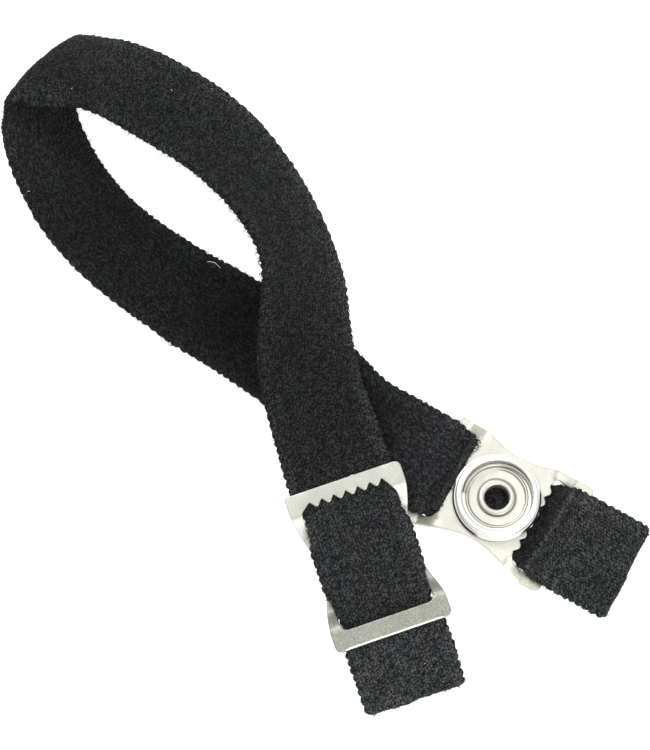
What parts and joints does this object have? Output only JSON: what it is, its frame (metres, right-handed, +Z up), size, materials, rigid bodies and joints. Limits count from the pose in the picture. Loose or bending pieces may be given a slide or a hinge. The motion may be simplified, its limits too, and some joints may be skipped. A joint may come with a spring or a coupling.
{
  "type": "esd wrist strap",
  "caption": "Elastic anti-static wrist strap laid in an open loop, with a stamped plate that carries a snap socket and a toothed adjuster plate.",
  "frame": {"origin": "centre of the snap socket's mouth, on its axis", "axes": "+Z up out of the socket's mouth, +X along the snap plate towards the band's short end, +Y across the band towards the inside of the loop"},
  "size_m": [0.1303, 0.0803, 0.0161],
  "materials": {
    "band_knit": "fine knit face",
    "band_pile": "rough pile face",
    "plate_nickel": "satin nickel plate",
    "socket_nickel": "bright nickel plate",
    "spring_wire": "drawn spring wire"
  },
  "bodies": {
    "lower_band": {"band_plate_run": "band_pile", "band_lower_run": "band_pile", "band_fold_lower": "band_pile"},
    "short_end": {"band_short_end": "band_knit"},
    "snap_plate_assembly": {"snap_plate": "plate_nickel", "socket_shell": "socket_nickel", "socket_dish": "socket_nickel", "socket_eyelet": "socket_nickel"},
    "spring_ring": {"spring_ring": "spring_wire"},
    "upper_band": {"band_fold_upper": "band_knit", "band_upper_run": "band_knit", "band_adjuster_run": "band_knit"},
    "adjuster": {"adjuster_plate": "plate_nickel"},
    "tail": {"band_tail": "band_knit"}
  },
  "joints": [
    {"name": "short_end_lift", "type": "hinge", "parent": "lower_band", "child": "short_end", "pos_m": [0.01649, 0, -0.00381], "axis": [0, -1, 0], "range_deg": [0, 60]},
    {"name": "snap_plate_slide", "type": "slide", "parent": "lower_band", "child": "snap_plate_assembly", "axis": [1, 0, 0], "range_m": [-0.001, 0.002]},
    {"name": "spring_ring_turn", "type": "hinge", "parent": "snap_plate_assembly", "child": "spring_ring", "pos_m": [0, 0, -0.00128], "axis": [0, 0, 1], "continuous": true},
    {"name": "loop_open", "type": "hinge", "parent": "lower_band", "child": "upper_band", "pos_m": [-0.10287, 0.0237, 0.00125], "axis": [-0.1773, -0.815, 0.5517], "range_deg": [0, 45]},
    {"name": "adjuster_slide", "type": "slide", "parent": "upper_band", "child": "adjuster", "axis": [0.7524, -0.6517, -0.0958], "range_m": [-0.002, 0.002]},
    {"name": "tail_lift", "type": "hinge", "parent": "upper_band", "child": "tail", "pos_m": [-0.0012, -0.03014, -0.00319], "axis": [-0.6547, -0.7559, 0], "range_deg": [0, 60]}
  ]
}
